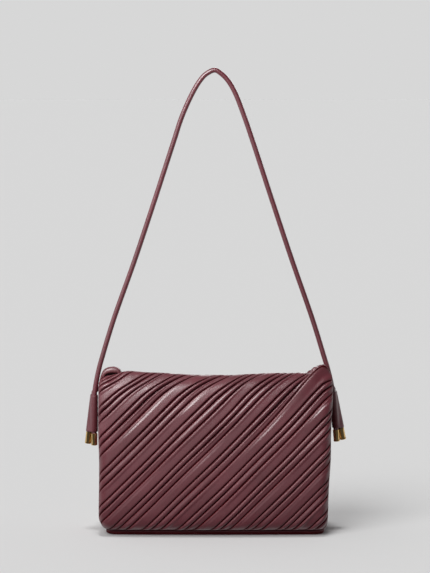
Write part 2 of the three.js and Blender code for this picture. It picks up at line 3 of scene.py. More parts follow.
import bpy
import numpy as np
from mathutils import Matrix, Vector


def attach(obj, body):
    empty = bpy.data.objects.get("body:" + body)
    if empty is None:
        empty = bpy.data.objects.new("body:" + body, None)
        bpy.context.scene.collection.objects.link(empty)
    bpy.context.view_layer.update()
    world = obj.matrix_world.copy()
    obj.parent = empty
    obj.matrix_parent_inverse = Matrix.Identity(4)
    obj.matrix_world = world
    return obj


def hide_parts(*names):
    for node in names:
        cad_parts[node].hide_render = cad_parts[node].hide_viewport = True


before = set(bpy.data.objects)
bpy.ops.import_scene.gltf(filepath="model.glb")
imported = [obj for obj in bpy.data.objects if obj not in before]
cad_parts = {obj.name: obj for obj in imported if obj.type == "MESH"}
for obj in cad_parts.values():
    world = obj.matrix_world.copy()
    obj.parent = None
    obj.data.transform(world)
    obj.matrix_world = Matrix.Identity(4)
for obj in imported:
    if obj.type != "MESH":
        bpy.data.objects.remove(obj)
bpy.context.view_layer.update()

# The body's named sizes in millimetres, the same as in the part's source
STRAP_DROP = 361.6
BAG_WIDTH = 280.0
BAG_HEIGHT = 190.0
BAG_DEPTH = 89.0
BASE_STRIP = 5.7
MOUTH_WIDTH = 14.0
WALL = 2.0
SEAM_GAP = 0.4
SIDE_TURN = 12.0
PILLOW = 0.1
EAR_RISE = 13.5
BACK_DROP = 4.0
PLEAT_PITCH = 40.2
PLEAT_START = -10.8
BEND_LEFT = 15.0
BEND_RIGHT = 5.0
BEND_HEIGHT = 34.0
BEND_ACROSS = (-200.0, -20.0)
GUSSET_FOLD = 5.5
GUSSET_BULGE = 1.8
EAR_REACH = 28.5
EAR_HALF_WIDTH = 6.4
LEDGE = 1.5
BASE_TURN = 2.4
CORD_RADIUS = 3.0
CORD_CLEARANCE = 0.3
SLEEVE_WALL = 1.0
SLEEVE_OUTSET = 8.9
SLEEVE_FALL = 24.9
SLEEVE_LENGTH = 44.6
SLEEVE_TWIST_TOP = 80.0
SLEEVE_TWIST_FOOT = 38.0
ANCHOR_RISE = 7.0
ANCHOR_SETBACK = 3.1
KNOB_RADIUS = 3.7
KNOB_LENGTH = 3.0
KNOB_GAP = 0.9
CAP_WALL = 0.5
CAP_LENGTH = 14.5
CAP_FLOOR = 1.5
CAP_GAP = 1.0
CAP_LAG = 1.2

HALF_WIDTH = BAG_WIDTH / 2
HALF_DEPTH = BAG_DEPTH / 2
HALF_MOUTH = MOUTH_WIDTH / 2
RIM_HEIGHT = -STRAP_DROP
BASE_HEIGHT = RIM_HEIGHT - BAG_HEIGHT
SEAM_HEIGHT = BASE_HEIGHT + BASE_STRIP
PANEL_HEIGHT = BAG_HEIGHT - BASE_STRIP
CAP_RADIUS = CORD_RADIUS + CORD_CLEARANCE + CAP_WALL
BORE = CORD_RADIUS + CORD_CLEARANCE

# Section of a panel from its foot to the end of its lip: depth, up, depth at the side, up at the side
PANEL_SECTION = np.array([
    (0.667, 0.0, 0.33, 0.0),
    (0.867, 0.03, 0.5, 0.03),
    (0.96, 0.1, 0.6, 0.1),
    (1.0, 0.27, 0.645, 0.27),
    (0.987, 0.46, 0.62, 0.46),
    (0.907, 0.64, 0.55, 0.64),
    (0.76, 0.79, 0.455, 0.79),
    (0.56, 0.91, 0.35, 0.895),
    (0.36, 0.97, 0.275, 0.95),
    (0.165, 1.0, 0.219, 0.972),
    (0.037, 0.982, 0.16, 0.96),
    (0.0, 0.944, 0.133, 0.932),
    (0.011, 0.905, 0.133, 0.9),
])
CREST_ROW = 9

# Outline from the front: up, left, right
SIDE_LINE = np.array([
    (0.0, 0.871, 0.9),
    (0.025, 0.925, 0.932),
    (0.042, 0.957, 0.95),
    (0.072, 0.982, 0.964),
    (0.11, 0.996, 0.968),
    (0.28, 0.993, 0.973),
    (0.47, 0.988, 0.987),
    (0.68, 0.998, 0.993),
    (0.9, 0.997, 1.008),
    (1.0, 0.995, 0.998),
])
LEFT_COLUMN = 1
RIGHT_COLUMN = 2

# The rim from left to right: across, rise
RIM_LINE = np.array([
    (-1.0, -0.3),
    (-0.94, -0.1),
    (-0.88, 0.04),
    (-0.83, 0.18),
    (-0.78, 0.38),
    (-0.72, 0.4),
    (-0.6, 0.3),
    (-0.43, 0.22),
    (-0.1, 0.0),
    (0.13, 0.04),
    (0.43, 0.2),
    (0.74, 0.23),
    (0.84, 0.27),
    (0.88, 0.58),
    (0.91, 0.92),
    (0.935, 1.0),
    (0.96, 0.82),
    (0.99, 0.4),
])
LIFT_LEFT = (0.62, 0.78)
LIFT_RIGHT = (0.4, 0.72)
LEAN = (-0.1, 0.3)

# The gusset's ear: inward, rise, half width, droop of its edges
EAR_SECTION = np.array([
    (0.0, -0.95, 1.0, 0.0),
    (0.05, -0.3, 0.98, 0.3),
    (0.15, 0.28, 0.96, 0.95),
    (0.31, 0.57, 1.0, 1.0),
    (0.5, 0.68, 1.0, 1.0),
    (0.7, 0.68, 0.98, 1.0),
    (0.88, 0.5, 0.94, 0.8),
    (1.0, 0.0, 0.9, 0.6),
])
EAR_DROOP_FRONT = 6.5
EAR_DROOP_BACK = 12.5

# The strap's legs, from the peak down: down, left, right
STRAP_LEGS = np.array([
    (0.013, 0.076, 0.058),
    (0.032, 0.123, 0.107),
    (0.071, 0.186, 0.168),
    (0.149, 0.279, 0.248),
    (0.227, 0.347, 0.318),
    (0.423, 0.514, 0.486),
    (0.621, 0.687, 0.659),
    (0.819, 0.871, 0.839),
    (0.939, 0.967, 0.936),
    (0.99, 1.003, 0.976),
])

# One group of pleats, two narrow folds and a wide band: from, to, depth of the fold at its start, crest,
# share of the rolled lip, slope after the crest, share of the tuck, steps
RIDGES = (
    (0.0, 0.24, -1.9, 3.3, 0.42, 0.25, 0.4, 13),
    (0.24, 0.52, -2.2, 2.3, 0.34, 0.35, 0.31, 13),
    (0.52, 1.0, -1.7, 2.7, 0.16, 0.25, 0.14, 20),
)
# How far each group of pleats lies off the even pitch, counted from the one at the left corner
GROUP_SHIFT = {
    -7: 0.5, -6: -3.6, -5: -0.4, -4: -1.0, -3: -0.2, -2: -1.0,
    -1: 0.4, 0: 0.7, 1: 0.0, 2: -0.8, 3: -4.5,
}
FIRST_GROUP = -10
LAST_GROUP = 6
SWELL = 0.1
SWELL_BY_GROUP = 2.3
SWELL_BY_RIDGE = 1.7
LIP_POWER = 2.4
SLOPE_POWER = 1.7
# Painted shade along the fold lines: its strength, and how far it reaches from each line in millimetres
FOLD_DARKNESS = 1.7
FOLD_REACH = 1.1
BEND_LIMIT = 1.3

# The panel's mesh
PANEL_ROWS = 132
INNER_COLUMNS = 56
SIDE_MARGIN = 0.5
FAR_KEY = 1e6
FINE_POINTS = 2401

# Waves along the folds: height, length up the leather, shift from place to place
FOLD_WAVES = ((0.45, 29, 1.3), (0.3, 13, 2.9))
RELIEF_WAVES = ((0.2, 31, 3.7), (0.12, 11, 5.3))
RELIEF_MEAN = 0.86

# Where relief and painted shade of the folds come in: from the side and the foot in millimetres, then along
# the panel
RELIEF_FROM_SIDE = (0, 11)
RELIEF_FROM_FOOT = (0, 7)
RELIEF_LOW = 0.55
RELIEF_FULL = (0.3, 0.6)
SHADE_FROM_SIDE = (0, 5)
SHADE_FROM_FOOT = (0, 4)
SHADE_TO_RIM = (0.8, 0.95)
# Relief lost towards the rim: share lost, from, to
RELIEF_LOSS = ((0.7, 0.6, 0.76), (0.6, 0.78, 0.93))

# The gusset's mesh and its seams, with shade painted along the seams
GUSSET_STATIONS = 25
GUSSET_COLUMNS = 28
ROWS_PER_STATION = 3
SEAM_WIDTH = 1.6
SEAM_DEPTH = 0.5
SEAM_SHADE = 0.6
HOLE_SIDES = 32
HOLE_REACH = 4 * WALL

# The base's edge under the pleats: inset, how far under the seam, painted shade, since the base lies in the
# shadow under the pleats
BASE_EDGE = (
    (WALL, 0.0, 0.9),
    (0.5, 0.0, 0.9),
    (-0.25, 0.5, 0.35),
    (-0.3, 1.0, 0.35),
    (0.1, 1.45, 0.8),
    (0.15, 1.7, 0.9),
    (-0.1, 2.0, 0.7),
)
BASE_ROUND_STEPS = 6
BASE_ROUND_HEIGHT = 0.9
BASE_OUTSET = 0.1
# Painted shade on the top row of the base's rounded foot; the rows below it are painted fully dark
BASE_ROUND_SHADE = 0.85
BASE_FLOOR_INSET = 0.6
CORNER_STEPS = 14
FACE_STEPS = 24

# Cords: the sewn seam along their side with shade painted into it, and the stop at an anchor cord's end as
# radius and place
CORD_FRONT = (0, -1, 0)
CORD_SEAM_ANGLE = math.pi
CORD_SEAM_WIDTH = 0.14
CORD_SEAM_DEPTH = 0.28
CORD_SEAM_SHADE = 0.8
STRAP_STEPS = 420
STRAP_SIDES = 24
STRAP_TURN = (0.7, 1)
ANCHOR_STEPS = 90
ANCHOR_SIDES = 20
KNOB_SIDES = 24
KNOB_PROFILE = ((0.8, 0.0), (0.97, 0.15), (1.0, 0.5), (0.97, 0.85), (0.8, 1.0))

# Sleeves: rows near the rims, the rolled rim, the waist between the cords, faint wrinkles and painted shade
# on the side towards the bag
SLEEVE_RIM_ROWS = (0.0, 0.006, 0.018)
SLEEVE_ROWS = (0.04, 0.96, 36)
SLEEVE_ROUND_STEPS = 14
SLEEVE_WAIST_STEPS = 8
SLEEVE_RIM_ROUND = 0.35
SLEEVE_RIM_REACH = 0.008
SLEEVE_WAIST = 0.55
SLEEVE_WAIST_REACH = 0.15
SLEEVE_WRINKLE = 0.06
SLEEVE_WRINKLE_TURNS = 37
SLEEVE_SHADE = 0.7
SLEEVE_SHADE_INWARD = (-2, 4)

# Caps: rounded closed end, turned groove as inset and height, mouth as inset and distance from the mouth
CAP_SIDES = 48
CAP_ROUND = 1.6 * CAP_WALL
CAP_ROUND_STEPS = 5
CAP_GROOVE = ((0.0, 2.2), (0.16, 2.4), (0.16, 2.6), (0.0, 2.8))
CAP_MOUTH = ((0.0, 0.3), (0.08, 0.08), (0.25, 0.0))
CAP_LIP = 0.1


class Side:
    def __init__(self, name, sign, column, fold_share, top_share, fall_share, ear_share):
        self.name = name
        self.sign = sign
        self.column = column
        self.fold = fold_share * GUSSET_FOLD
        self.ear_reach = ear_share * EAR_REACH
        self.top_out = HALF_WIDTH + top_share * SLEEVE_OUTSET
        self.top_down = STRAP_DROP + fall_share * SLEEVE_FALL
        self.foot_out = HALF_WIDTH + SLEEVE_OUTSET
        self.foot_down = self.top_down + SLEEVE_LENGTH


SIDES = (
    Side("left", -1, LEFT_COLUMN, -0.08, 0.66, 1.0, 1.0),
    Side("right", 1, RIGHT_COLUMN, 1.0, 0.26, 0.81, 0.68),
)


def smoothstep(value, low, high):
    share = np.clip((value - low) / (high - low), 0, 1)
    return share * share * (3 - 2 * share)


def read_table(table, column, at):
    """Smooth curve through the rows of a table, read at many values of its first column."""
    keys = table[:, 0]
    values = table[:, column]
    at = np.clip(np.asarray(at, float), keys[0], keys[-1])
    nearby = np.arange(len(keys))
    before = np.maximum(nearby - 1, 0)
    after = np.minimum(nearby + 1, len(keys) - 1)
    slope = (values[after] - values[before]) / (keys[after] - keys[before])
    index = np.clip(np.searchsorted(keys, at, side="right"), 1, len(keys) - 1)
    span = keys[index] - keys[index - 1]
    share = (at - keys[index - 1]) / span
    ease = share * share * (3 - 2 * share)
    leave = share * (1 - share) ** 2 * span * slope[index - 1]
    arrive = share * share * (share - 1) * span * slope[index]
    return values[index - 1] * (1 - ease) + values[index] * ease + leave + arrive


def spline(points, along):
    """Even Catmull-Rom curve through points, read at shares of its length in rows."""
    points = np.asarray(points, float)
    last = len(points) - 1
    place = np.clip(np.asarray(along, float), 0, 1) * last
    index = np.minimum(np.floor(place).astype(int), last - 1)
    t = (place - index)[..., None]
    p0 = points[np.maximum(index - 1, 0)]
    p1 = points[index]
    p2 = points[index + 1]
    p3 = points[np.minimum(index + 2, last)]
    v0 = (p2 - p0) / 2
    v1 = (p3 - p1) / 2
    return (2 * p1 - 2 * p2 + v0 + v1) * t**3 + (-3 * p1 + 3 * p2 - 2 * v0 - v1) * t**2 + v0 * t + p1


def panel_depth(share):
    return HALF_MOUTH + share * (HALF_DEPTH - HALF_MOUTH)


MIDDLE_SECTION = np.column_stack([panel_depth(PANEL_SECTION[:, 0]), PANEL_SECTION[:, 1] * PANEL_HEIGHT])
SIDE_SECTION = np.column_stack([panel_depth(PANEL_SECTION[:, 2]), PANEL_SECTION[:, 3] * PANEL_HEIGHT])

_fine = np.linspace(0, 1, FINE_POINTS)
_steps = np.linalg.norm(np.diff(spline(MIDDLE_SECTION, _fine), axis=0), axis=1)
_lengths = np.concatenate([[0], np.cumsum(_steps)])


def leather_up(along):
    return np.interp(along, _fine, _lengths)


def along_at(up):
    return np.interp(up, _lengths, _fine)


CREST_UP = leather_up(CREST_ROW / (len(PANEL_SECTION) - 1))


def side_distance(column, height):
    return HALF_WIDTH * read_table(SIDE_LINE, column, (height + BASE_STRIP) / BAG_HEIGHT)


def pillow(depth, outside):
    """A panel is deepest in its middle and flatter towards its sides."""
    return HALF_MOUTH + (depth - HALF_MOUTH) * (1 - PILLOW * outside**2)


class Limits:
    """Where a panel's rows begin, turn and end."""

    def __init__(self, along, facing):
        self.middle = spline(MIDDLE_SECTION, along)
        self.side = spline(SIDE_SECTION, along)
        left, right = (LEFT_COLUMN, RIGHT_COLUMN) if facing == 1 else (RIGHT_COLUMN, LEFT_COLUMN)
        self.left = -side_distance(left, self.side[..., 1])
        self.right = side_distance(right, self.side[..., 1])
        self.turn = math.pi / 4 * (SIDE_TURN + np.abs(pillow(self.middle[..., 0], 1) - self.side[..., 0]))
        self.start = self.left + SIDE_TURN - self.turn
        self.end = self.right - SIDE_TURN + self.turn


def surface(across, along, facing):
    """A panel's smooth outer face: across and up the leather to a point."""
    across, along = np.broadcast_arrays(np.asarray(across, float), np.asarray(along, float))
    row = Limits(along, facing)
    turn_left = np.clip((row.left + SIDE_TURN - across) / row.turn, 0, 1) * math.pi / 2
    turn_right = np.clip((across - row.right + SIDE_TURN) / row.turn, 0, 1) * math.pi / 2
    x = np.where(turn_left > 0, row.left + SIDE_TURN * (1 - np.sin(turn_left)), across)
    x = np.where(turn_right > 0, row.right - SIDE_TURN * (1 - np.sin(turn_right)), x)
    blend = 1 - np.cos(np.maximum(turn_left, turn_right))
    outside = facing * x / HALF_WIDTH
    depth = pillow(row.middle[..., 0], outside) * (1 - blend) + row.side[..., 0] * blend
    height = row.middle[..., 1] * (1 - blend) + row.side[..., 1] * blend
    below_crest = CREST_UP - leather_up(along)
    lean = smoothstep(outside, *LEAN)
    rim_place = outside + lean * np.maximum(below_crest, 0) / HALF_WIDTH
    drop = 0 if facing == 1 else BACK_DROP
    rise = EAR_RISE * read_table(RIM_LINE, 1, rim_place) - drop
    lift_from = LIFT_LEFT[0] + lean * (LIFT_RIGHT[0] - LIFT_LEFT[0])
    lift_to = LIFT_LEFT[1] + lean * (LIFT_RIGHT[1] - LIFT_LEFT[1])
    lift = rise * smoothstep(along, lift_from, lift_to)
    return np.stack([x, -depth, SEAM_HEIGHT + height + lift], axis=-1)


def surface_normal(across, along, facing):
    row = Limits(np.asarray(along, float), facing)
    reach_across = 0.4
    reach_along = 0.004
    low = np.maximum(across - reach_across, row.start)
    high = np.minimum(across + reach_across, row.end)
    below = np.maximum(along - reach_along, 0)
    above = np.minimum(along + reach_along, 1)
    over_across = surface(high, along, facing) - surface(low, along, facing)
    over_along = surface(across, above, facing) - surface(across, below, facing)
    normal = np.cross(over_across, over_along)
    return normal / np.linalg.norm(normal, axis=-1, keepdims=True)


class Body:
    """Collects points and faces of one piece, in millimetres."""

    def __init__(self):
        self.points = []
        self.faces = []
        self.count = 0

    def add(self, points):
        points = np.asarray(points, float).reshape(-1, 3)
        self.points.append(points)
        ids = list(range(self.count, self.count + len(points)))
        self.count += len(points)
        return ids

    def join(self, low_ids, low_keys, high_ids, high_keys, flip=False):
        """Joins two rows in the order of their keys, with four-sided faces where the keys agree."""
        low = high = 0
        last_low = len(low_ids) - 1
        last_high = len(high_ids) - 1
        while low < last_low or high < last_high:
            low_next = low_keys[low + 1] if low < last_low else math.inf
            high_next = high_keys[high + 1] if high < last_high else math.inf
            if low_next == high_next and low_keys[low] == high_keys[high]:
                face = [low_ids[low], low_ids[low + 1], high_ids[high + 1], high_ids[high]]
                low += 1
                high += 1
            elif low_next <= high_next:
                face = [low_ids[low], low_ids[low + 1], high_ids[high]]
                low += 1
            else:
                face = [low_ids[low], high_ids[high + 1], high_ids[high]]
                high += 1
            self.faces.append(face[::-1] if flip else face)

    def join_even(self, low_ids, high_ids, closed=False, flip=False):
        keys = list(range(len(low_ids) + (1 if closed else 0)))
        low = low_ids + low_ids[:1] if closed else low_ids
        high = high_ids + high_ids[:1] if closed else high_ids
        self.join(low, keys, high, keys, flip)

    def fan(self, ids, hub, flip=False):
        for a, b in zip(ids, ids[1:] + ids[:1]):
            self.faces.append([b, a, hub] if flip else [a, b, hub])

    def closed_tube(self, rings, start, end, flip=False):
        """Joins rings to a tube and closes both of its ends round a middle point."""
        for low, high in zip(rings, rings[1:]):
            self.join_even(low, high, closed=True, flip=flip)
        self.fan(rings[0], self.add([start])[0], flip=not flip)
        self.fan(rings[-1], self.add([end])[0], flip=flip)

    def build(self, name, material, attributes=None):
        mesh = bpy.data.meshes.new(name)
        points = np.concatenate(self.points) / 1000
        mesh.from_pydata(points.tolist(), [], self.faces)
        for key, values in (attributes or {}).items():
            layer = mesh.attributes.new(key, "FLOAT", "POINT")
            layer.data.foreach_set("value", np.asarray(values, np.float32))
        mesh.validate()
        mesh.polygons.foreach_set("use_smooth", [True] * len(mesh.polygons))
        mesh.update()
        piece = bpy.data.objects.new(name, mesh)
        bpy.context.scene.collection.objects.link(piece)
        piece.data.materials.append(material)
        return piece


def round_angles(sides):
    return np.linspace(0, 2 * math.pi, sides, endpoint=False)


def circle(centre, across, other, radius, angle):
    """Points round a centre. The radius may change from point to point."""
    return centre + across * (radius * np.cos(angle))[:, None] + other * (radius * np.sin(angle))[:, None]


Y_AXIS = np.array([0.0, 1.0, 0.0])
Z_AXIS = np.array([0.0, 0.0, 1.0])

leather_pieces = bpy.data.collections.new("leather_pieces")


def settle(piece, node, slot):
    """Puts a finished piece in place of its solid."""
    if slot != "gold_metal":
        leather_pieces.objects.link(piece)
    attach(piece, "root")
    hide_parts(node)
    return piece


# Materials


def new_material(name):
    material = bpy.data.materials.new(name)
    material.use_nodes = True
    tree = material.node_tree
    shader = tree.nodes["Principled BSDF"]
    return material, tree, shader


def node(tree, kind, **settings):
    made = tree.nodes.new(kind)
    for key, value in settings.items():
        if key in made.inputs:
            made.inputs[key].default_value = value
        else:
            setattr(made, key, value)
    return made


def ramp(tree, source, stops):
    made = tree.nodes.new("ShaderNodeValToRGB")
    elements = made.color_ramp.elements
    while len(elements) < len(stops):
        elements.new(0.5)
    for element, (place, value) in zip(elements, stops):
        element.position = place
        colour = value if isinstance(value, tuple) else (value, value, value)
        element.color = (*colour, 1)
    tree.links.new(source, made.inputs["Fac"])
    return made.outputs["Color"]


def mix_colour(tree, factor, first, second, blend="MIX"):
    made = tree.nodes.new("ShaderNodeMix")
    made.data_type = "RGBA"
    made.blend_type = blend
    for value, socket in ((factor, made.inputs[0]), (first, made.inputs[6]), (second, made.inputs[7])):
        if isinstance(value, bpy.types.NodeSocket):
            tree.links.new(value, socket)
        elif isinstance(value, tuple):
            socket.default_value = (*value, 1)
        else:
            socket.default_value = value
    return made.outputs[2]


def texture(tree, place, kind, output, **settings):
    made = node(tree, kind, **settings)
    tree.links.new(place, made.inputs["Vector"])
    return made.outputs[output]


def noise(tree, place, **settings):
    return texture(tree, place, "ShaderNodeTexNoise", "Fac", **settings)


def bump(tree, source, strength, distance, under=None):
    made = node(tree, "ShaderNodeBump", Strength=strength, Distance=distance)
    tree.links.new(source, made.inputs["Height"])
    if under is not None:
        tree.links.new(under, made.inputs["Normal"])
    return made.outputs["Normal"]


WHITE = (1.0, 1.0, 1.0)
BURGUNDY = (0.088, 0.0135, 0.0205)
# Dark colour for the pores' grain and for painted shade
PORE_AND_PAINTED_SHADE = (0.009, 0.0005, 0.0009)
FOLD_ROUGHNESS = (0.95, 0.95, 0.95)
# Specular tint where shade is painted, which takes the reflection out of the marked places
PAINTED_SHADE_SPECULAR = (1.0, 0.0, 0.04)
LEATHER_SHINE = 0.85
PATCH_SCALE = 22.0
PATCH_LIGHTER = 1.22
PATCH_RAMP = [(0.35, 0.0), (0.7, 1.0)]
PORE_RAMP = [(0.0, 0.0), (0.12, 1.0)]
PORE_SHADE = 0.25
GLOSS_SCALE = 70.0
GLOSS_FROM = 0.3
GLOSS_TO = 0.7
WRINKLE_SHARE = 0.45
WRINKLE_BUMP = (0.12, 0.0006)
PORE_BUMP = (0.1, 0.0003)


def leather_material(name, grain_scale, roughness):
    """Burgundy leather: fine pores and wrinkles, uneven dye, and painted shade where a point attribute marks
    folds, seams, the base and the sleeves' sides: there the colour darkens, the reflection is tinted away and
    the leather is rougher.
    """
    material, tree, shader = new_material(name)
    shader.inputs["Specular IOR Level"].default_value = LEATHER_SHINE
    place = tree.nodes.new("ShaderNodeTexCoord").outputs["Object"]

    patches = noise(tree, place, Scale=PATCH_SCALE, Detail=3.0, Roughness=0.6)
    light = tuple(min(1, c * PATCH_LIGHTER) for c in BURGUNDY)
    colour = mix_colour(tree, ramp(tree, patches, PATCH_RAMP), BURGUNDY, light)
    pores = texture(
        tree, place, "ShaderNodeTexVoronoi", "Distance", Scale=grain_scale, feature="DISTANCE_TO_EDGE")
    pore_edge = ramp(tree, pores, PORE_RAMP)
    colour = mix_colour(tree, pore_edge, mix_colour(tree, PORE_SHADE, colour, PORE_AND_PAINTED_SHADE), colour)
    # Painted shade: a point attribute darkens the colour in folds, seams, the base and the sleeves' sides
    painted_shade = tree.nodes.new("ShaderNodeAttribute")
    painted_shade.attribute_name = "painted_shade"
    painted_shade_amount = painted_shade.outputs["Fac"]
    colour = mix_colour(tree, painted_shade_amount, colour, PORE_AND_PAINTED_SHADE)
    tree.links.new(colour, shader.inputs["Base Color"])

    shine = noise(tree, place, Scale=GLOSS_SCALE, Detail=4.0, Roughness=0.65)
    low, high = roughness
    gloss = ramp(tree, shine, [(GLOSS_FROM, low), (GLOSS_TO, high)])
    gloss = mix_colour(tree, painted_shade_amount, gloss, FOLD_ROUGHNESS)
    # Reflection tinted away where shade is painted
    painted_shade_specular = mix_colour(tree, painted_shade_amount, WHITE, PAINTED_SHADE_SPECULAR)
    tree.links.new(painted_shade_specular, shader.inputs["Specular Tint"])
    tree.links.new(gloss, shader.inputs["Roughness"])

    wrinkles = noise(tree, place, Scale=grain_scale * WRINKLE_SHARE, Detail=5.0, Roughness=0.6)
    coarse = bump(tree, wrinkles, *WRINKLE_BUMP)
    fine = bump(tree, pore_edge, *PORE_BUMP, under=coarse)
    tree.links.new(fine, shader.inputs["Normal"])
    return material


pleated_leather = leather_material("pleated_leather", grain_scale=900.0, roughness=(0.34, 0.42))
plain_leather = leather_material("plain_leather", grain_scale=900.0, roughness=(0.32, 0.42))
strap_leather = leather_material("strap_leather", grain_scale=1100.0, roughness=(0.28, 0.36))

GOLD = (0.72, 0.47, 0.19)
PALE_GOLD = (0.82, 0.58, 0.27)
SMUDGE_SCALE = 160.0
GOLD_ROUGHNESS = [(0.3, 0.08), (0.75, 0.15)]
SCRATCH_SCALE = 700.0
SCRATCH_BUMP = (0.04, 0.0002)


def gold_material():
    material, tree, shader = new_material("gold_metal")
    place = tree.nodes.new("ShaderNodeTexCoord").outputs["Object"]
    smudge = noise(tree, place, Scale=SMUDGE_SCALE, Detail=4.0, Roughness=0.6)
    colour = mix_colour(tree, ramp(tree, smudge, PATCH_RAMP), GOLD, PALE_GOLD)
    tree.links.new(colour, shader.inputs["Base Color"])
    tree.links.new(ramp(tree, smudge, GOLD_ROUGHNESS), shader.inputs["Roughness"])
    shader.inputs["Metallic"].default_value = 1.0
    scratches = noise(tree, place, Scale=SCRATCH_SCALE, Detail=3.0)
    tree.links.new(bump(tree, scratches, *SCRATCH_BUMP), shader.inputs["Normal"])
    return material


gold_metal = gold_material()

# Pleated panels


def group_shift(place):
    keys = sorted(GROUP_SHIFT)
    return np.interp(place, keys, [GROUP_SHIFT[key] for key in keys])


def pleat_samples():
    """Every fold line and the points between them: place in the pitch, relief, painted shade of the fold."""
    rows = []
    for group in range(FIRST_GROUP, LAST_GROUP + 1):
        for index, (start, end, floor, crest, lip, slope, tuck, steps) in enumerate(RIDGES):
            next_floor = RIDGES[(index + 1) % len(RIDGES)][2]
            swell = 1 + SWELL * math.sin(SWELL_BY_GROUP * group + SWELL_BY_RIDGE * index)
            for step in range(steps):
                share = (1 - math.cos(math.pi * step / steps)) / 2
                rise = 1 - max(0.0, 1 - share / lip) ** LIP_POWER
                fall = 1 - max(0.0, 1 - (1 - share) / tuck) ** LIP_POWER
                base = floor + (next_floor - floor) * share
                top = crest * swell * (1 - slope * share**SLOPE_POWER)
                relief = base + (top - base) * min(rise, fall)
                to_fold = min(share, 1 - share) * (end - start) * PLEAT_PITCH
                fold_shade = min(1, FOLD_DARKNESS * math.exp(-to_fold / FOLD_REACH))
                rows.append((group + start + (end - start) * share, relief, fold_shade))
    return np.array(rows)


def pleat_bend(at_foot, up):
    """The folds lean over as they near the rim, most on the left."""
    reach = BEND_LEFT + (BEND_RIGHT - BEND_LEFT) * smoothstep(at_foot, *BEND_ACROSS)
    return reach * np.clip((up - CREST_UP + BEND_HEIGHT) / BEND_HEIGHT, 0, BEND_LIMIT) ** 2


def waves(table, up, place, mean=0.0):
    """A mean value with the waves of a table on it."""
    return sum((height * np.sin(up / length + shift * place) for height, length, shift in table), mean)


def panel(facing, name):
    """A pleated panel: its outer face follows the folds, its inner face is smooth."""
    samples = pleat_samples()
    pleat_place = samples[:, 0]
    at_foot = PLEAT_START + pleat_place * PLEAT_PITCH + group_shift(pleat_place)
    body = Body()
    painted_shade = []
    ups = np.linspace(0, _lengths[-1], PANEL_ROWS + 1)
    outer_rows = []
    inner_rows = []
    for up in ups:
        along = float(along_at(up))
        row = Limits(np.array(along), facing)
        start, end = float(row.start), float(row.end)
        across = at_foot + up + pleat_bend(at_foot, up) + waves(FOLD_WAVES, up, pleat_place)
        inside = (across > start + SIDE_MARGIN) & (across < end - SIDE_MARGIN)
        index = np.nonzero(inside)[0]
        place = np.concatenate([[start], across[index], [end]])
        relief = np.concatenate([[0], samples[index, 1], [0]])
        painted_dark = np.concatenate([[0], samples[index, 2], [0]])
        to_side = np.minimum(place - start, end - place)
        shade = smoothstep(to_side, *SHADE_FROM_SIDE) * smoothstep(up, *SHADE_FROM_FOOT)
        shade = shade * (1 - smoothstep(along, *SHADE_TO_RIM))
        fade = smoothstep(to_side, *RELIEF_FROM_SIDE) * smoothstep(up, *RELIEF_FROM_FOOT)
        fade = fade * (RELIEF_LOW + (1 - RELIEF_LOW) * smoothstep(along, *RELIEF_FULL))
        for loss, low, high in RELIEF_LOSS:
            fade = fade * (1 - loss * smoothstep(along, low, high))
        fold_number = np.floor(len(RIDGES) * np.concatenate([[0], pleat_place[index], [0]]))
        fade = fade * waves(RELIEF_WAVES, up, fold_number, RELIEF_MEAN)
        normal = surface_normal(place, along, facing)
        points = surface(place, along, facing) + normal * (relief * fade)[:, None]
        keys = np.concatenate([[-FAR_KEY], index, [FAR_KEY]])
        outer_rows.append((body.add(points), keys.tolist(), place.tolist()))
        # Shade painted along the fold lines, faded at the sides, the foot and the rim
        painted_shade.append(painted_dark * shade)
        columns = np.linspace(start, end, INNER_COLUMNS + 1)
        inner = surface(columns, along, facing) - surface_normal(columns, along, facing) * WALL
        inner_rows.append((body.add(inner), columns.tolist()))
        painted_shade.append(np.zeros(len(columns)))
    for low, high in zip(outer_rows, outer_rows[1:]):
        body.join(low[0], low[1], high[0], high[1])
    for low, high in zip(inner_rows, inner_rows[1:]):
        body.join_even(low[0], high[0], flip=True)
    body.join(inner_rows[0][0], inner_rows[0][1], outer_rows[0][0], outer_rows[0][2])
    body.join(outer_rows[-1][0], outer_rows[-1][2], inner_rows[-1][0], inner_rows[-1][1])
    body.join_even([row[0][0] for row in outer_rows], [row[0][0] for row in inner_rows])
    body.join_even([row[0][-1] for row in inner_rows], [row[0][-1] for row in outer_rows])
    if facing == -1:
        for points in body.points:
            points[:, :2] *= -1
    piece = body.build(name, pleated_leather, {"painted_shade": np.concatenate(painted_shade)})
    return settle(piece, name.replace("_leather", ""), "pleated_leather")


panel(1, "front_panel_leather")
panel(-1, "back_panel_leather")

# Gussets


def border(side, facing, along):
    row = Limits(np.array(along), facing)
    at_start = (side.sign < 0) != (facing == -1)
    point = surface(row.start if at_start else row.end, along, facing)
    if facing == -1:
        point = point * np.array([-1, -1, 1])
    return point


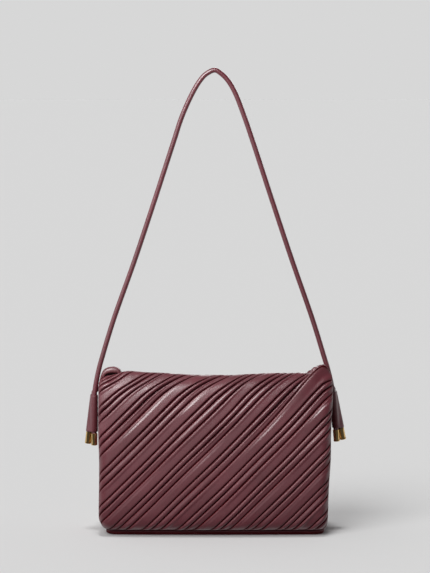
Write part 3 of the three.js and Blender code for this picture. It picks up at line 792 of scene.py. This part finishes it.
def gusset_lines(side):
    """Front and back edges of the gusset with the depth of its fold, from the seam over the ear."""
    lip_end = min(border(side, 1, 1.0)[2], border(side, -1, 1.0)[2]) - LEDGE
    fold_top = RIM_HEIGHT - BAG_HEIGHT / 8
    fold_foot = RIM_HEIGHT - BAG_HEIGHT / 2
    lines = []
    for along in np.linspace(0, 1, GUSSET_STATIONS):
        front = border(side, 1, along)
        back = border(side, -1, along)
        if max(front[2], back[2]) > lip_end:
            break
        front = front + np.array([0, SEAM_GAP, 0])
        back = back - np.array([0, SEAM_GAP, 0])
        drawn = float(smoothstep(front[2], fold_foot, fold_top))
        bulge = GUSSET_BULGE * float(smoothstep(front[2], SEAM_HEIGHT, fold_foot)) * (1 - drawn)
        lines.append((front, back, side.fold * drawn - bulge, 0.0))
    neck_out = side_distance(side.column, PANEL_HEIGHT) - side.fold
    neck = (0.0, (lip_end + LEDGE / 2 - RIM_HEIGHT) / EAR_RISE, 1.0, 0.0)
    for inward, rise, half, droop in [neck, *EAR_SECTION.tolist()]:
        x = side.sign * (neck_out - inward * side.ear_reach)
        z = RIM_HEIGHT + rise * EAR_RISE
        half_width = half * EAR_HALF_WIDTH
        lines.append((np.array([x, -half_width, z]), np.array([x, half_width, z]), 0.0, droop))
    return lines


def resample(values):
    """More rows between the given ones, on the smooth curve through them."""
    values = np.asarray(values, float)
    flat = values.reshape(len(values), -1)
    before = np.concatenate([flat[:1], flat[:-1]])
    after = np.concatenate([flat[1:], flat[-1:]])
    slope = (after - before) / 2
    rows = []
    for index in range(len(flat) - 1):
        for step in range(ROWS_PER_STATION):
            t = step / ROWS_PER_STATION
            ease = t * t * (3 - 2 * t)
            rows.append(flat[index] * (1 - ease) + flat[index + 1] * ease
                        + t * (1 - t) ** 2 * slope[index] + t * t * (t - 1) * slope[index + 1])
    rows.append(flat[-1])
    return np.array(rows).reshape(-1, *values.shape[1:])


def grid_normals(grid):
    """Directions out of a grid, level at the sides where it stands upright."""
    over_rows = np.gradient(grid, axis=0)
    over_columns = np.gradient(grid, axis=1)
    normal = np.cross(over_columns, over_rows)
    flat = normal[..., 2] ** 2 < normal[..., 0] ** 2
    normal[flat[:, 0], 0, 1] = 0
    normal[flat[:, -1], -1, 1] = 0
    return normal / np.linalg.norm(normal, axis=-1, keepdims=True)


def anchor_hole(side):
    out = side_distance(side.column, PANEL_HEIGHT) - side.fold - WALL / 2
    return np.array([side.sign * out, ANCHOR_SETBACK, -side.top_down + ANCHOR_RISE])


def gusset(side):
    front, back, fold, droop = (resample(values) for values in zip(*gusset_lines(side)))
    share = np.linspace(0, 1, GUSSET_COLUMNS + 1)
    grid = front[:, None] * (1 - share)[None, :, None] + back[:, None] * share[None, :, None]
    grid[..., 0] -= side.sign * fold[:, None] * 4 * share * (1 - share)
    reach = np.where(share < 0.5, EAR_DROOP_FRONT, EAR_DROOP_BACK)
    grid[..., 2] -= droop[:, None] * reach * (2 * share - 1) ** 4
    if side.sign < 0:
        grid = grid[:, ::-1]
    normal = grid_normals(grid)
    edge = np.minimum(share, 1 - share)
    width = np.linalg.norm(front - back, axis=1)
    seam = np.clip(1 - edge[None, :] * width[:, None] / SEAM_WIDTH, 0, 1)
    outer = grid - normal * (SEAM_DEPTH * seam**2)[..., None]
    inner = grid - normal * WALL
    body = Body()
    outer_ids = [body.add(row) for row in outer]
    inner_ids = [body.add(row) for row in inner]
    for low, high in zip(outer_ids, outer_ids[1:]):
        body.join_even(low, high)
    for low, high in zip(inner_ids, inner_ids[1:]):
        body.join_even(low, high, flip=True)
    body.join_even(inner_ids[0], outer_ids[0])
    body.join_even(outer_ids[-1], inner_ids[-1])
    body.join_even([row[0] for row in outer_ids], [row[0] for row in inner_ids])
    body.join_even([row[-1] for row in inner_ids], [row[-1] for row in outer_ids])
    # Shade painted along both seams of the gusset
    painted_shade = np.concatenate([seam.ravel() * SEAM_SHADE, np.zeros(seam.size)])
    piece = body.build(f"gusset_{side.name}_leather", plain_leather, {"painted_shade": painted_shade})
    cut_anchor_hole(piece, anchor_hole(side))
    return settle(piece, f"gusset_{side.name}", "plain_leather")


def cut_anchor_hole(piece, centre):
    """Cuts a round hole for the anchor cord through a gusset, along X."""
    drill = Body()
    rings = []
    for end in (-HOLE_REACH, HOLE_REACH):
        middle = centre + np.array([end, 0, 0])
        rings.append(drill.add(circle(middle, Y_AXIS, Z_AXIS, BORE, round_angles(HOLE_SIDES))))
    drill.join_even(rings[0], rings[1], closed=True, flip=True)
    drill.faces.append(rings[0])
    drill.faces.append(rings[1][::-1])
    tool = drill.build("drill", plain_leather)
    cut = piece.modifiers.new("hole", "BOOLEAN")
    cut.operation = "DIFFERENCE"
    cut.solver = "EXACT"
    cut.object = tool
    graph = bpy.context.evaluated_depsgraph_get()
    finished = bpy.data.meshes.new_from_object(piece.evaluated_get(graph))
    piece.modifiers.clear()
    piece.data = finished
    bpy.data.objects.remove(tool)


# Base


def foot_loop(inset, height):
    """Closed loop along the foot of both panels, moved in and set to a height."""
    loop = []
    for facing in (1, -1):
        row = Limits(np.array(0.0), facing)
        start, end, turn = float(row.start), float(row.end), float(row.turn)
        places = np.concatenate([
            np.linspace(start, start + turn, CORNER_STEPS, endpoint=False),
            np.linspace(start + turn, end - turn, FACE_STEPS, endpoint=False),
            np.linspace(end - turn, end, CORNER_STEPS + 1),
        ])
        points = surface(places, 0.0, facing)
        normal = surface_normal(places, 0.0, facing)
        normal[:, 2] = 0
        normal /= np.linalg.norm(normal, axis=1, keepdims=True)
        points = points - normal * inset
        points[:, 2] = height
        points[:, :2] *= facing
        loop.append(points)
    return np.concatenate(loop)


def base():
    rim = SEAM_HEIGHT - SEAM_GAP
    floor = BASE_HEIGHT + WALL
    levels = [(inset, rim - under, shade) for inset, under, shade in BASE_EDGE]
    for step in range(BASE_ROUND_STEPS + 1):
        angle = math.pi / 2 * step / BASE_ROUND_STEPS
        inset = BASE_TURN * (1 - math.cos(angle)) - BASE_OUTSET * math.cos(angle)
        height = BASE_HEIGHT + BASE_TURN * (1 - math.sin(angle)) * BASE_ROUND_HEIGHT
        levels.append((inset, height, 1.0 if step else BASE_ROUND_SHADE))
    body = Body()
    rows = [body.add(foot_loop(inset, height)) for inset, height, shade in levels]
    for high, low in zip(rows, rows[1:]):
        body.join_even(low, high, closed=True)
    inner = body.add(foot_loop(WALL + BASE_FLOOR_INSET, floor))
    body.join_even(rows[0], inner, closed=True)
    hub_x = float(side_distance(RIGHT_COLUMN, 0) - side_distance(LEFT_COLUMN, 0)) / 2
    under = body.add([(hub_x, 0, BASE_HEIGHT)])[0]
    over = body.add([(hub_x, 0, floor)])[0]
    body.fan(rows[-1], under, flip=True)
    body.fan(inner, over)
    # Shade painted on the base row by row, as it lies under the pleats' bulge
    painted_dark = np.zeros(body.count)
    for row, (inset, height, shade) in zip(rows, levels):
        painted_dark[row] = shade
    piece = body.build("base_panel_leather", plain_leather, {"painted_shade": painted_dark})
    return settle(piece, "base_panel", "plain_leather")


base()

# Strap, cords, sleeves and caps


def centripetal(points, per_span=60):
    """Centripetal Catmull-Rom curve through points, as closely spaced points."""
    points = np.asarray(points, float)
    ends = np.vstack([2 * points[0] - points[1], points, 2 * points[-1] - points[-2]])
    curve = []
    for index in range(1, len(ends) - 2):
        p0, p1, p2, p3 = ends[index - 1:index + 3]
        dt0, dt1, dt2 = (math.sqrt(np.linalg.norm(b - a)) for a, b in ((p0, p1), (p1, p2), (p2, p3)))
        t1 = ((p1 - p0) / dt0 - (p2 - p0) / (dt0 + dt1) + (p2 - p1) / dt1) * dt1
        t2 = ((p2 - p1) / dt1 - (p3 - p1) / (dt1 + dt2) + (p3 - p2) / dt2) * dt1
        t = np.linspace(0, 1, per_span, endpoint=False)[:, None]
        square = -3 * p1 + 3 * p2 - 2 * t1 - t2
        cube = 2 * p1 - 2 * p2 + t1 + t2
        curve.append(p1 + t1 * t + square * t**2 + cube * t**3)
    curve.append(ends[-2][None])
    return np.concatenate(curve)


def even_points(curve, steps):
    lengths = np.concatenate([[0], np.cumsum(np.linalg.norm(np.diff(curve, axis=0), axis=1))])
    at = np.linspace(0, lengths[-1], steps + 1)
    return np.column_stack([np.interp(at, lengths, curve[:, axis]) for axis in range(3)]), lengths[-1]


def cord_frames(path, first_side):
    """Directions across a path that don't twist: one pair for each point."""
    tangent = np.gradient(path, axis=0)
    tangent /= np.linalg.norm(tangent, axis=1, keepdims=True)
    side = np.asarray(first_side, float)
    across = []
    for direction in tangent:
        side = side - direction * side.dot(direction)
        side = side / np.linalg.norm(side)
        across.append(side)
    across = np.array(across)
    return across, np.cross(tangent, across)


def cord_piece(name, points, steps, sides):
    """A round cord with a fine sewn seam along one side, shade painted into the seam, and its length."""
    path, length = even_points(centripetal(points), steps)
    frames = zip(path, *cord_frames(path, CORD_FRONT))
    angle = round_angles(sides)
    off_seam = np.abs((angle - CORD_SEAM_ANGLE + math.pi) % (2 * math.pi) - math.pi)
    groove = np.exp(-(off_seam / CORD_SEAM_WIDTH) ** 2)
    radius = CORD_RADIUS - CORD_SEAM_DEPTH * groove
    body = Body()
    rings = [body.add(circle(point, across, other, radius, angle)) for point, across, other in frames]
    body.closed_tube(rings, path[0], path[-1])
    # Shade painted into the seam's groove
    painted_shade = np.concatenate([np.tile(groove * CORD_SEAM_SHADE, len(path)), [0, 0]])
    return body.build(name, strap_leather, {"painted_shade": painted_shade}), length


def sleeve_section(side, down):
    out = side.top_out + (side.foot_out - side.top_out) * down
    drop = side.top_down + (side.foot_down - side.top_down) * down
    centre = np.array([side.sign * out, 0, -drop])
    twist = math.radians(SLEEVE_TWIST_TOP + (SLEEVE_TWIST_FOOT - SLEEVE_TWIST_TOP) * down)
    to_strap = np.array([-side.sign * math.cos(twist), -math.sin(twist), 0])
    top_spread = CORD_RADIUS + CORD_CLEARANCE / 2
    foot_spread = CAP_RADIUS + CORD_CLEARANCE / 2
    spread = top_spread + (foot_spread - top_spread) * down
    return centre, to_strap, spread


class CordRun:
    """A cord's straight run through a sleeve and into its cap."""

    def __init__(self, side, towards, lag):
        ends = []
        for down in (0, 1):
            centre, to_strap, spread = sleeve_section(side, down)
            ends.append(centre + to_strap * spread * towards)
        self.top, self.foot = ends
        self.middle = (self.foot + self.top) / 2
        self.direction = (self.foot - self.top) / np.linalg.norm(self.foot - self.top)
        self.cap_start = self.foot + self.direction * (CAP_GAP + lag)
        self.end = self.cap_start + self.direction * (CAP_LENGTH - CAP_FLOOR - CORD_CLEARANCE)


def strap_leg(side):
    run = CordRun(side, 1, CAP_LAG)
    legs = [
        (side.sign * row[side.column] * HALF_WIDTH,
         run.top[1] * float(smoothstep(row[0], *STRAP_TURN)),
         CORD_RADIUS - row[0] * (STRAP_DROP + CORD_RADIUS))
        for row in STRAP_LEGS[::-1]
    ]
    return [run.end, run.foot, run.middle, run.top, *legs]


def strap():
    left, right = (strap_leg(side) for side in SIDES)
    points = [*left, (0, 0, CORD_RADIUS), *right[::-1]]
    piece, length = cord_piece("strap_leather", points, STRAP_STEPS, STRAP_SIDES)
    print("strap length mm", round(float(length), 1))
    return settle(piece, "strap", "strap_leather")


def anchor_cord(side):
    run = CordRun(side, -1, 0)
    hole = anchor_hole(side)
    outward = np.array([side.sign, 0, 0])
    inner = hole - outward * (WALL / 2 + KNOB_LENGTH)
    outside = hole + outward * WALL
    rise = run.top - run.direction * CORD_RADIUS
    points = [inner, outside, rise, run.top, run.middle, run.foot, run.end]
    piece, length = cord_piece(f"anchor_cord_{side.name}_leather", points, ANCHOR_STEPS, ANCHOR_SIDES)
    print("anchor cord length mm", side.name, round(float(length), 1))
    knob_start = hole - outward * (WALL / 2 + KNOB_GAP + KNOB_LENGTH)
    body = Body()
    rings = []
    for radius, inward in KNOB_PROFILE:
        centre = knob_start + outward * KNOB_LENGTH * inward
        rings.append(body.add(circle(centre, Y_AXIS, Z_AXIS, radius * KNOB_RADIUS, round_angles(KNOB_SIDES))))
    body.closed_tube(rings, knob_start, knob_start + outward * KNOB_LENGTH, flip=side.sign < 0)
    knob = body.build(f"anchor_knob_{side.name}_leather", strap_leather)
    settle(piece, f"anchor_cord_{side.name}", "strap_leather")
    return settle(knob, f"anchor_cord_{side.name}", "strap_leather")


def sleeve(side):
    def ring(down, radius, waist):
        centre, to_strap, spread = sleeve_section(side, down)
        across = np.array([-to_strap[1], to_strap[0], 0])
        points = []
        for end in (1, -1):
            for step in range(SLEEVE_ROUND_STEPS + 1):
                angle = math.pi * step / SLEEVE_ROUND_STEPS - math.pi / 2
                points.append(centre + to_strap * end * (spread + radius * math.cos(angle))
                              + across * end * radius * math.sin(angle))
            for step in range(1, SLEEVE_WAIST_STEPS):
                share = step / SLEEVE_WAIST_STEPS
                pinch = waist * math.sin(math.pi * share) ** 2
                points.append(centre + to_strap * end * spread * (1 - 2 * share)
                              + across * end * (radius - pinch))
        return points

    body = Body()
    outer = []
    inner = []
    shade = []
    foot_rows = [1 - down for down in SLEEVE_RIM_ROWS[::-1]]
    for down in (*SLEEVE_RIM_ROWS, *np.linspace(*SLEEVE_ROWS), *foot_rows):
        to_rim = min(down, 1 - down)
        rim_round = SLEEVE_RIM_ROUND * math.exp(-to_rim / SLEEVE_RIM_REACH)
        waist = SLEEVE_WAIST * float(smoothstep(to_rim, 0.0, SLEEVE_WAIST_REACH))
        wrinkle = SLEEVE_WRINKLE * math.sin(down * SLEEVE_WRINKLE_TURNS)
        points = np.array(ring(down, BORE + SLEEVE_WALL - rim_round + wrinkle * waist, waist))
        # Shade painted on the side that faces the bag
        inward = side.sign * (sleeve_section(side, down)[0][0] - points[:, 0])
        shade += [SLEEVE_SHADE * smoothstep(inward, *SLEEVE_SHADE_INWARD), np.zeros(len(points))]
        outer.append(body.add(points))
        inner.append(body.add(ring(down, BORE, 0)))
    for high_o, low_o, high_i, low_i in zip(outer, outer[1:], inner, inner[1:]):
        body.join_even(low_o, high_o, closed=True)
        body.join_even(low_i, high_i, closed=True, flip=True)
    body.join_even(inner[-1], outer[-1], closed=True)
    body.join_even(outer[0], inner[0], closed=True)
    piece = body.build(f"sleeve_{side.name}_leather", plain_leather, {"painted_shade": np.concatenate(shade)})
    return settle(piece, f"sleeve_{side.name}", "plain_leather")


def cap(side, which, towards, lag):
    run = CordRun(side, towards, lag)
    profile = []
    for step in range(CAP_ROUND_STEPS + 1):
        angle = math.pi / 2 * step / CAP_ROUND_STEPS
        profile.append((CAP_RADIUS - CAP_ROUND * (1 - math.sin(angle)), CAP_ROUND * (1 - math.cos(angle))))
    profile += [(CAP_RADIUS - inset, height) for inset, height in CAP_GROOVE]
    profile += [(CAP_RADIUS - inset, CAP_LENGTH - under) for inset, under in CAP_MOUTH]
    profile += [(BORE, CAP_LENGTH - CAP_LIP), (BORE, CAP_FLOOR)]
    across = np.cross(run.direction, Y_AXIS)
    across /= np.linalg.norm(across)
    other = np.cross(run.direction, across)
    closed_end = run.cap_start + run.direction * CAP_LENGTH
    body = Body()
    rings = []
    for radius, height in profile:
        centre = closed_end - run.direction * height
        rings.append(body.add(circle(centre, across, other, radius, round_angles(CAP_SIDES))))
    body.closed_tube(rings, closed_end, closed_end - run.direction * CAP_FLOOR, flip=True)
    piece = body.build(f"{which}_cap_{side.name}_gold", gold_metal)
    return settle(piece, f"{which}_cap_{side.name}", "gold_metal")


strap()
for side in SIDES:
    gusset(side)
    anchor_cord(side)
    sleeve(side)
    cap(side, "strap", 1, CAP_LAG)
    cap(side, "anchor", -1, 0)

# Floor, light and camera

FLOOR_GAP = 0.0001
FLOOR_HEIGHT = BASE_HEIGHT / 1000 - FLOOR_GAP
FLOOR_REACH = 45.0
BACKGROUND = 0.68
FLOOR_TONE = 0.715
DOME_LEFT = 0.55
DOME_RIGHT = 0.2
DARK_ROOM = 0.08
DOME_ACROSS = (-0.8, 0.6)
BAND_UP = (0.1, 0.3)
ROOM_DEPTH = (-0.5, 0.05)


def floor():
    mesh = bpy.data.meshes.new("floor")
    reach = FLOOR_REACH
    plan = ((-reach, -reach), (reach, -reach), (reach, reach), (-reach, reach))
    corners = [(x, y, FLOOR_HEIGHT) for x, y in plan]
    mesh.from_pydata(corners, [], [(0, 1, 2, 3)])
    piece = bpy.data.objects.new("floor", mesh)
    bpy.context.scene.collection.objects.link(piece)
    material, _, shader = new_material("floor")
    shader.inputs["Base Color"].default_value = (FLOOR_TONE, FLOOR_TONE, FLOOR_TONE, 1)
    shader.inputs["Roughness"].default_value = 1.0
    shader.inputs["Specular IOR Level"].default_value = 0.0
    piece.data.materials.append(material)
    piece.visible_glossy = False
    return piece


floor_pieces = bpy.data.collections.new("floor_pieces")
floor_pieces.objects.link(floor())


def studio():
    """An even pale band round the horizon, a dome over it, and a dark room behind the camera."""
    world = bpy.data.worlds.new("studio")
    bpy.context.scene.world = world
    world.use_nodes = True
    tree = world.node_tree
    place = tree.nodes.new("ShaderNodeTexCoord").outputs["Generated"]
    parts = tree.nodes.new("ShaderNodeSeparateXYZ")
    tree.links.new(place, parts.inputs[0])

    def over(source, low, high, first, last):
        made = tree.nodes.new("ShaderNodeMapRange")
        made.interpolation_type = "SMOOTHSTEP"
        for socket, value in zip(("From Min", "From Max", "To Min", "To Max"), (low, high, first, last)):
            made.inputs[socket].default_value = value
        tree.links.new(source, made.inputs["Value"])
        return made.outputs["Result"]

    def blend(share, first, last):
        made = tree.nodes.new("ShaderNodeMix")
        made.data_type = "FLOAT"
        for value, socket in ((share, made.inputs[0]), (first, made.inputs[2]), (last, made.inputs[3])):
            if isinstance(value, bpy.types.NodeSocket):
                tree.links.new(value, socket)
            else:
                socket.default_value = value
        return made.outputs[0]

    dome = over(parts.outputs["X"], *DOME_ACROSS, DOME_LEFT, DOME_RIGHT)
    band = over(parts.outputs["Z"], *BAND_UP, 1.0, 0.0)
    shown = blend(band, dome, BACKGROUND)
    room = over(parts.outputs["Y"], *ROOM_DEPTH, 1.0, 0.0)
    tree.links.new(blend(room, shown, DARK_ROOM), tree.nodes["Background"].inputs["Color"])


studio()

LIGHT_TARGET = Vector((0, 0, -0.43))


def place_lamp(name, lamp, azimuth, elevation, distance, receivers):
    """Puts a lamp round the bag. Azimuth 0 is behind the camera, 90 the bag's right."""
    piece = bpy.data.objects.new(name, lamp)
    bpy.context.scene.collection.objects.link(piece)
    turn, tilt = math.radians(azimuth), math.radians(elevation)
    towards = Vector((math.sin(turn) * math.cos(tilt), -math.cos(turn) * math.cos(tilt), math.sin(tilt)))
    piece.rotation_mode = "QUATERNION"
    piece.rotation_quaternion = towards.to_track_quat("Z", "Y")
    piece.location = LIGHT_TARGET + towards * distance
    piece.light_linking.receiver_collection = receivers


def sun(name, azimuth, elevation, strength, spread, receivers):
    lamp = bpy.data.lights.new(name, "SUN")
    lamp.energy = strength
    lamp.angle = math.radians(spread)
    place_lamp(name, lamp, azimuth, elevation, 1.0, receivers)


def soft_box(name, azimuth, elevation, distance, wide, high, power, receivers):
    lamp = bpy.data.lights.new(name, "AREA")
    lamp.shape = "RECTANGLE"
    lamp.size = wide
    lamp.size_y = high
    lamp.energy = power
    place_lamp(name, lamp, azimuth, elevation, distance, receivers)


# Lamps for the floor: name, azimuth, elevation, strength, spread
SUNS = (
    ("floor_sun", -36, 42, 1.75, 40),
    ("floor_top", 0, 88, 1.0, 8),
)
# Lamps for the bag: name, azimuth, elevation, distance, width, height, power
SOFT_BOXES = (
    ("front_box", -30, 44, 1.5, 0.95, 0.6, 30),
    ("veil_box", -10, 0, 2.2, 2.2, 1.8, 8.5),
    ("side_box", -62, 20, 0.95, 0.6, 0.7, 2.2),
    ("back_box", 160, 32, 1.7, 1.2, 0.9, 14),
)
for row in SUNS:
    sun(*row, floor_pieces)
for row in SOFT_BOXES:
    soft_box(*row, leather_pieces)

CAMERA_LENS = 125.65
CAMERA_SENSOR = 36
CAMERA_DISTANCE = 2.4
CAMERA_ELEVATION = math.radians(6)
CAMERA_TARGET = -0.2552

camera_data = bpy.data.cameras.new("camera")
camera_data.lens = CAMERA_LENS
camera_data.sensor_width = CAMERA_SENSOR
camera = bpy.data.objects.new("camera", camera_data)
bpy.context.scene.collection.objects.link(camera)
camera.location = (
    0,
    -CAMERA_DISTANCE * math.cos(CAMERA_ELEVATION),
    CAMERA_TARGET + CAMERA_DISTANCE * math.sin(CAMERA_ELEVATION),
)
camera.rotation_euler = (math.pi / 2 - CAMERA_ELEVATION, 0, 0)
bpy.context.scene.camera = camera
bpy.context.scene.view_settings.view_transform = "Standard"
